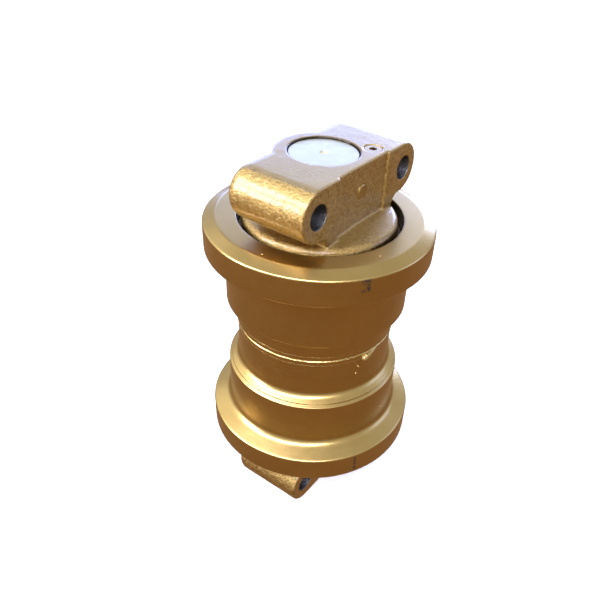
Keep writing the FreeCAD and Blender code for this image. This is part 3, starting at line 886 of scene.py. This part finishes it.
def shaft_outline():
    """Right half of the shaft's section, from the foot of the lower centre drill to the upper one."""
    end = SHAFT_END_LEVEL
    upper = [
        (SHOULDER_RADIUS, SHOULDER_LEVEL, 0.4),
        (JOURNAL_RADIUS, SHOULDER_LEVEL, 0.4),
        (JOURNAL_RADIUS, JOURNAL_LEVEL, 0.6),
        (SHAFT_END_RADIUS, JOURNAL_LEVEL, 0.4),
        (SHAFT_END_RADIUS, RING_GROOVE_FOOT, 0.2),
        (RING_GROOVE_RADIUS, RING_GROOVE_FOOT, 0.4),
        (RING_GROOVE_RADIUS, RING_GROOVE_TOP, 0.4),
        (SHAFT_END_RADIUS, RING_GROOVE_TOP, 0.2),
        (SHAFT_END_RADIUS, end - 1.0, 0.3),
        (SHAFT_END_RADIUS - 1.0, end, 0.3),
        (DRILL_MOUTH_RADIUS, end, 0.15),
        (DRILL_RADIUS, end - 4.5, 0.1),
        (DRILL_RADIUS, end - 7.5, 0.1),
        (0.0, end - 7.5, 0.0),
    ]
    lower = [(radius, -level, fillet) for radius, level, fillet in reversed(upper)]
    return lower + upper


def make_shaft(material):
    """Turned shaft with its two pin holes and faint tool rings on its end faces."""
    outline = rounded(shaft_outline(), closed=False)
    outline = refined(outline, lambda point: 0.7 if abs(point.y) > 160 else 8.0, closed=False)
    piece = lathe("shaft_turned", outline, segments=192, closed=False)
    hole_radius = PIN_RADIUS + 0.02
    hole = [(0, 16, 0), (hole_radius, 16, 0.2), (hole_radius, 40, 0), (0, 40, 0)]
    for level in (PIN_LEVEL, -PIN_LEVEL):
        cutter = lathe("pin_hole_cutter", rounded(hole, closed=False), segments=48, closed=False)
        place(cutter, Matrix.Translation((0, 0, level * MM)) @ Matrix.Rotation(pi / 2, 4, "Y"))
        cut(piece, cutter)
    points = coordinates(piece.data)
    radius = np.hypot(points[:, 0], points[:, 1])
    on_face = np.abs(points[:, 2]) > SHAFT_END_LEVEL - 0.01
    on_face &= (radius < SHAFT_END_RADIUS - 1.5) & (radius > 4.4)
    ring_spacing = 1.9
    depth = 0.035 * (1 + np.sin(radius * 2 * pi / ring_spacing))
    points[:, 2] -= np.sign(points[:, 2]) * on_face * depth
    set_coordinates(piece.data, points)
    finish_piece(piece, "mounting", "shaft_paint", material, "shaft")


def make_pin(end, material):
    """Dowel pin with bevelled ends and a slightly crowned face, lying along X."""
    half = (PIN_HIGH.x - PIN_LOW.x) / 2 / MM
    bevel = 0.8
    corners = [
        (0, -half, 0),
        (PIN_RADIUS - bevel, -half, 0.2),
        (PIN_RADIUS, bevel - half, 0.2),
        (PIN_RADIUS, half - bevel, 0.25),
        (PIN_RADIUS - bevel, half, 0.3),
        (0, half - 0.25, 0),
    ]
    outline = refined(rounded(corners, closed=False), lambda point: 1.0, closed=False)
    piece = lathe(f"{end}_pin", outline, segments=72, closed=False)
    middle = Vector(((PIN_HIGH.x + PIN_LOW.x) / 2, 0, PIN_LEVEL * MM))
    place(piece, Matrix.Translation(middle) @ Matrix.Rotation(pi / 2, 4, "Y"))
    if end == "lower":
        below(piece)
    finish_piece(piece, "mounting", "pin_paint", material, f"{end}_dowel_pin")


def hexagon_cutter(radius, depth):
    """Hexagonal socket with a drilled cone below it, mouth at level zero; the radius is to its corners."""
    points = []
    for level in (1.0, -depth):
        for side in range(6):
            points.append((radius * cos(side * pi / 3), radius * sin(side * pi / 3), level))
    points.append((0, 0, -depth - radius * 0.5))
    faces = [tuple(range(6))]
    faces.extend((side, (side + 1) % 6, 6 + (side + 1) % 6, 6 + side) for side in range(6))
    faces.extend((6 + side, 6 + (side + 1) % 6, 12) for side in range(6))
    return new_piece("hexagon_cutter", points, faces)


def make_plug(material):
    """Oil plug: chamfered head with a hexagon socket, and a grooved stem that stands in for its thread."""
    foot = PLUG_LOW.z / MM
    seat = foot + 11.0
    head_radius = (PLUG_HIGH.x - PLUG_LOW.x) / 2 / MM
    root_radius = 4.4
    crest_radius = 5.0
    pitch = 1.25
    chamfer = 0.45
    corners = [(0, foot, 0), (root_radius, foot, 0.1)]
    for turn in range(7):
        level = foot + 0.8 + pitch * turn
        corners.extend([(root_radius, level, 0.08), (crest_radius, level + 0.55, 0.08)])
    corners.extend([
        (root_radius, seat - 0.9, 0.1),
        (root_radius, seat, 0.1),
        (head_radius, seat, 0.2),
        (head_radius, PLUG_TOP - chamfer, 0.25),
        (head_radius - chamfer, PLUG_TOP, 0.2),
        (0, PLUG_TOP, 0),
    ])
    outline = refined(rounded(corners, closed=False), lambda point: 1.5, closed=False)
    piece = lathe("oil_plug_screw", outline, segments=96, closed=False)
    cutter = hexagon_cutter(SOCKET_RADIUS, SOCKET_DEPTH)
    place(cutter, Matrix.Translation((0, 0, PLUG_TOP * MM)))
    cut(piece, cutter)
    place(piece, Matrix.Translation((PLUG_CENTRE.x * MM, PLUG_CENTRE.y * MM, 0)))
    piece.data.set_sharp_from_angle(angle=radians(40))
    finish_piece(piece, "mounting", "plug_paint", material, "oil_plug")


def finish_piece(piece, body, slot, material, *nodes):
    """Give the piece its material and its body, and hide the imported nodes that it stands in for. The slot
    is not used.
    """
    piece.data.materials.clear()
    piece.data.materials.append(material)
    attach(piece, body)
    if nodes:
        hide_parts(*nodes)


def dress_hidden_nodes():
    """Bushes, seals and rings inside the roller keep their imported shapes."""
    rubber = black_rubber()
    finishes = {
        "bush": bush_bronze(),
        "seal_ring": lapped_steel(),
        "toric_ring": rubber,
        "o_ring": rubber,
        "plug_seal": rubber,
    }
    for name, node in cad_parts.items():
        for ending, material in finishes.items():
            if name.endswith(ending):
                node.data.materials.clear()
                node.data.materials.append(material)


# ---------------------------------------------------------------- studio

def direction(azimuth, elevation):
    """Unit vector from the object towards a viewer at this azimuth and elevation in degrees."""
    turn, lift = radians(azimuth), radians(elevation)
    return Vector((sin(turn) * cos(lift), -cos(turn) * cos(lift), sin(lift)))


def make_camera():
    """The photograph's point of view."""
    camera = bpy.data.objects.new("camera", bpy.data.cameras.new("camera"))
    bpy.context.scene.collection.objects.link(camera)
    back = direction(CAMERA_AZIMUTH, CAMERA_ELEVATION)
    level_turn = back.to_track_quat("Z", "Y")
    camera.rotation_mode = "QUATERNION"
    camera.rotation_quaternion = level_turn @ Matrix.Rotation(radians(CAMERA_ROLL), 3, "Z").to_quaternion()
    camera.location = Vector(CAMERA_PLACE) * MM
    camera.data.lens = CAMERA_LENS
    camera.data.sensor_width = 36
    camera.data.shift_x, camera.data.shift_y = CAMERA_SHIFT
    camera.data.dof.use_dof = False
    bpy.context.scene.camera = camera


def soft_light(name, azimuth, elevation, distance, size, radiance, colour):
    """Rectangular light facing the roller, sized in metres; its power follows from size and brightness."""
    data = bpy.data.lights.new(name, "AREA")
    data.shape = "RECTANGLE"
    data.size, data.size_y = size
    data.energy = radiance * size[0] * size[1] * pi
    data.color = colour
    light = bpy.data.objects.new(name, data)
    bpy.context.scene.collection.objects.link(light)
    towards = direction(azimuth, elevation)
    light.location = towards * distance
    light.rotation_mode = "QUATERNION"
    light.rotation_quaternion = towards.to_track_quat("Z", "Y")
    light.visible_camera = False


def stage_plane(name, level, material):
    """Large level square that belongs to the studio."""
    half = FLOOR_HALF
    corners = [(-half, -half, level), (half, -half, level), (half, half, level), (-half, half, level)]
    mesh = bpy.data.meshes.new(name)
    mesh.from_pydata(corners, [], [(0, 1, 2, 3)])
    plane = bpy.data.objects.new(name, mesh)
    bpy.context.scene.collection.objects.link(plane)
    mesh.materials.append(material)
    return plane


def make_floor():
    """Pale floor, and under it a warm card that only reflections see, in place of a yard's ground."""
    paint = Paint("pale_floor")
    paint.set(Base_Color=(0.86, 0.85, 0.83, 1), Roughness=0.9)
    paint.set(Emission_Color=(1.0, 0.99, 0.97, 1), Emission_Strength=0.38)
    floor = stage_plane("floor", cad_low.z - FLOOR_GAP * MM, paint.material)
    floor.visible_glossy = False
    warm = Paint("warm_card")
    warm.set(Base_Color=(0, 0, 0, 1), Specular_IOR_Level=0.0, Roughness=1.0)
    warm.set(Emission_Color=(0.34, 0.190, 0.095, 1), Emission_Strength=1.0)
    card = stage_plane("warm_card", cad_low.z - CARD_GAP * MM, warm.material)
    card.visible_camera = False
    card.visible_diffuse = False
    card.visible_shadow = False


def make_studio():
    """Even pale sky, floor and the lights that the photograph's highlights call for."""
    world = bpy.data.worlds.new("soft_studio")
    world.use_nodes = True
    background = world.node_tree.nodes["Background"]
    background.inputs["Color"].default_value = (0.97, 0.98, 1.0, 1)
    background.inputs["Strength"].default_value = 0.66
    bpy.context.scene.world = world
    bpy.context.scene.view_settings.view_transform = "Standard"
    make_floor()
    soft_light("left_window", -42, 21, 2.2, (0.8, 0.7), 16.0, (1.0, 1.0, 1.25))
    soft_light("high_front", -2, 51, 2.2, (4.0, 0.80), 11.5, (0.97, 1.0, 1.35))
    soft_light("far_left", -84, 32, 2.6, (1.5, 1.3), 0.9, (1.0, 1.0, 0.95))
    soft_light("far_right", 134, 22, 2.6, (1.4, 1.3), 1.05, (0.72, 1.0, 2.5))
    soft_light("back_sky", 210, 15, 2.6, (2.6, 0.85), 1.9, (0.72, 1.16, 3.2))
    soft_light("right_sky", 194, 13, 2.6, (0.9, 0.7), 6.0, (0.82, 1.0, 1.8))


make_camera()
make_studio()
shell_material = shell_paint()
casting_material = casting_paint()
pin_material = pin_paint()
for end_name in ("upper", "lower"):
    make_shell(end_name, shell_material)
    make_collar(end_name, casting_material)
    make_pin(end_name, pin_material)
make_weld(shell_material)
make_spatter(shell_material)
make_shaft(shaft_finish())
make_plug(plug_paint())
dress_hidden_nodes()
